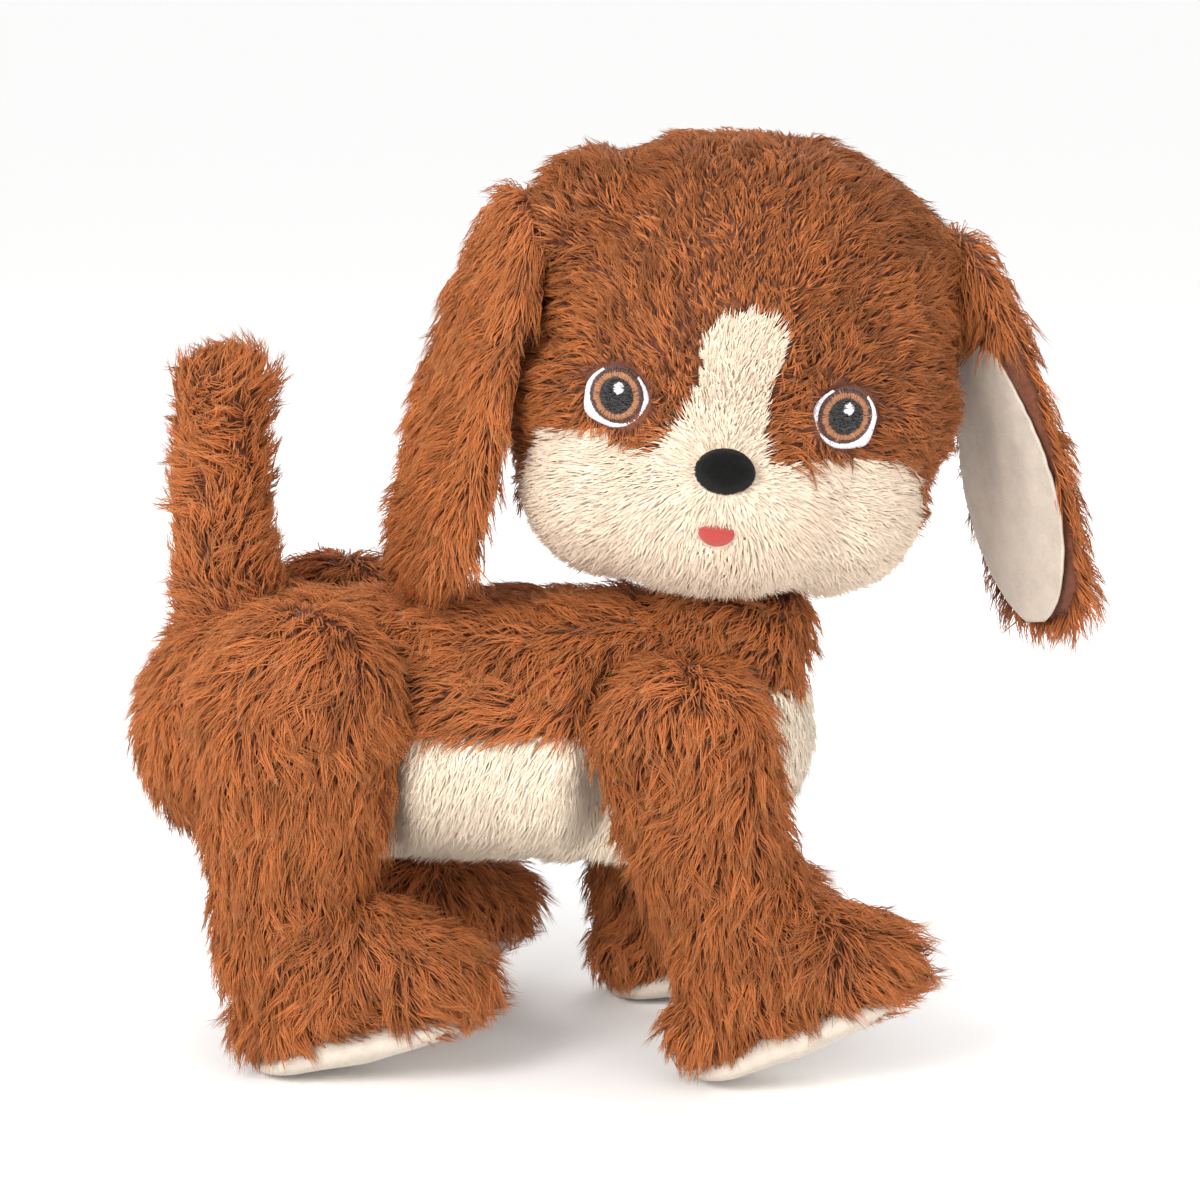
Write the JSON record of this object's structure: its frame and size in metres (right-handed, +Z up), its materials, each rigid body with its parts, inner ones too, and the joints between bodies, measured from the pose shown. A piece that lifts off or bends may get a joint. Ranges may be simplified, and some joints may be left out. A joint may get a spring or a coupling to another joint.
{
  "type": "interactive plush puppy",
  "caption": "Walking plush puppy: long-pile fur over a moulded chassis and skull, with hinged legs, turning head, lifting ears, wagging tail and touch switches.",
  "frame": {"origin": "on the ground, under the middle of the puppy's bounding box", "axes": "+X from tail to chest, +Y to the puppy's left, +Z up"},
  "size_m": [0.2856, 0.1306, 0.282],
  "materials": {
    "brown_fur": "long-pile plush",
    "cream_fur": "long-pile plush",
    "satin": "short satin velour",
    "casing_plastic": "moulded",
    "steel": "satin",
    "brass": "satin",
    "board": "solder mask",
    "cell_jacket": "printed film, no text",
    "black_plastic": "moulded",
    "copper": "enamelled wire",
    "eye_stitching": "satin-stitch embroidery",
    "black_flock": "flocked",
    "red_felt": "felt"
  },
  "bodies": {
    "torso": {"torso_fur": "brown_fur", "belly_fur": "cream_fur", "chassis_left": "casing_plastic", "chassis_right": "casing_plastic", "chassis_screws": "steel", "battery_cells": "cell_jacket", "battery_contacts": "steel", "circuit_board": "board", "speaker_frame": "black_plastic", "speaker_cone": "black_plastic", "switch_housing": "black_plastic", "front_leg_motor": "steel", "rear_leg_motor": "steel", "front_axle": "steel", "rear_axle": "steel", "axle_clips": "steel", "tail_coil": "copper", "neck_post": "casing_plastic"},
    "battery_cover": {"battery_cover": "casing_plastic"},
    "belly_flap": {"belly_flap": "cream_fur"},
    "power_slider": {"power_slider": "black_plastic"},
    "back_button": {"back_button": "casing_plastic"},
    "front_pinion": {"front_pinion": "brass"},
    "rear_pinion": {"rear_pinion": "brass"},
    "turn_pinion": {"turn_pinion": "brass"},
    "neck": {"neck_yoke": "casing_plastic", "nod_pins": "steel", "turn_motor": "steel"},
    "head": {"skull_front": "casing_plastic", "skull_back": "casing_plastic", "skull_screws": "steel", "head_fur": "brown_fur", "face_fur": "cream_fur", "eye_right": "eye_stitching", "eye_left": "eye_stitching", "nose": "black_flock", "tongue": "red_felt"},
    "head_button": {"head_button": "casing_plastic"},
    "ear_right": {"ear_right_fur": "brown_fur", "ear_right_lining": "satin"},
    "ear_left": {"ear_left_fur": "brown_fur", "ear_left_lining": "satin"},
    "tail": {"tail_fur": "brown_fur", "tail_lever": "casing_plastic", "tail_magnet": "steel"},
    "leg_front_right": {"front_right_leg_fur": "brown_fur", "front_right_leg_frame": "casing_plastic", "front_right_paw_pad": "satin"},
    "leg_front_left": {"front_left_leg_fur": "brown_fur", "front_left_leg_frame": "casing_plastic", "front_left_paw_pad": "satin"},
    "leg_rear_right": {"rear_right_leg_fur": "brown_fur", "rear_right_leg_frame": "casing_plastic", "rear_right_paw_pad": "satin"},
    "leg_rear_left": {"rear_left_leg_fur": "brown_fur", "rear_left_leg_frame": "casing_plastic", "rear_left_paw_pad": "satin"}
  },
  "joints": [
    {"name": "front_stride", "type": "hinge", "parent": "torso", "child": "leg_front_right", "pos_m": [0.022, 0, 0.116], "axis": [0, 1, 0], "range_deg": [-3, 21]},
    {"name": "front_left_stride", "type": "hinge", "parent": "torso", "child": "leg_front_left", "pos_m": [0.022, 0, 0.116], "axis": [0, 1, 0], "range_deg": [-21, 3]},
    {"name": "rear_stride", "type": "hinge", "parent": "torso", "child": "leg_rear_right", "pos_m": [-0.094, 0, 0.116], "axis": [0, 1, 0], "range_deg": [-8, 8]},
    {"name": "rear_left_stride", "type": "hinge", "parent": "torso", "child": "leg_rear_left", "pos_m": [-0.094, 0, 0.116], "axis": [0, 1, 0], "range_deg": [-8, 8]},
    {"name": "front_pinion_turn", "type": "hinge", "parent": "torso", "child": "front_pinion", "pos_m": [0.012, 0, 0.116], "axis": [1, 0, 0], "range_deg": [-70, 70]},
    {"name": "rear_pinion_turn", "type": "hinge", "parent": "torso", "child": "rear_pinion", "pos_m": [-0.084, 0, 0.116], "axis": [1, 0, 0], "range_deg": [-40, 40]},
    {"name": "tail_wag", "type": "hinge", "parent": "torso", "child": "tail", "pos_m": [-0.123, 0, 0.126], "axis": [1, 0, 0], "range_deg": [-20, 20]},
    {"name": "head_turn", "type": "hinge", "parent": "torso", "child": "neck", "pos_m": [0.035, 0, 0.163], "axis": [0, 0, 1], "range_deg": [-5, 115]},
    {"name": "turn_pinion_turn", "type": "hinge", "parent": "neck", "child": "turn_pinion", "pos_m": [0.03442, 0.01649, 0.165], "axis": [0, 0, 1], "range_deg": [-15, 345]},
    {"name": "head_nod", "type": "hinge", "parent": "neck", "child": "head", "pos_m": [0.035, 0, 0.205], "axis": [0.9994, 0.0349, 0], "range_deg": [-8, 5]},
    {"name": "head_press", "type": "slide", "parent": "head", "child": "head_button", "axis": [0, 0, -1], "range_m": [0, 0.0012], "stiffness_N_per_m": 600},
    {"name": "back_press", "type": "slide", "parent": "torso", "child": "back_button", "axis": [0, 0, -1], "range_m": [0, 0.0012], "stiffness_N_per_m": 600},
    {"name": "ear_right_lift", "type": "hinge", "parent": "head", "child": "ear_right", "pos_m": [-0.02504, -0.0141, 0.261], "axis": [0.5712, -0.8096, -0.1353], "range_deg": [-45, 0]},
    {"name": "ear_left_lift", "type": "hinge", "parent": "head", "child": "ear_left", "pos_m": [0.09818, 0.01021, 0.247], "axis": [0.5712, -0.8096, 0.1353], "range_deg": [0, 45]},
    {"name": "power_slide", "type": "slide", "parent": "torso", "child": "power_slider", "axis": [1, 0, 0], "range_m": [0, 0.004]},
    {"name": "cover_lift", "type": "slide", "parent": "torso", "child": "battery_cover", "axis": [0, 0, -1], "range_m": [0, 0.012]},
    {"name": "flap_open", "type": "hinge", "parent": "torso", "child": "belly_flap", "pos_m": [-0.038, 0.0196, 0.065], "axis": [1, 0, 0], "range_deg": [0, 75]}
  ],
  "couplings": [
    {"joint": "front_left_stride", "follows": "front_stride", "ratio": -1},
    {"joint": "rear_left_stride", "follows": "rear_stride", "ratio": -1},
    {"joint": "front_pinion_turn", "follows": "front_stride", "ratio": 3},
    {"joint": "rear_pinion_turn", "follows": "rear_stride", "ratio": -3},
    {"joint": "turn_pinion_turn", "follows": "head_turn", "ratio": 3}
  ]
}
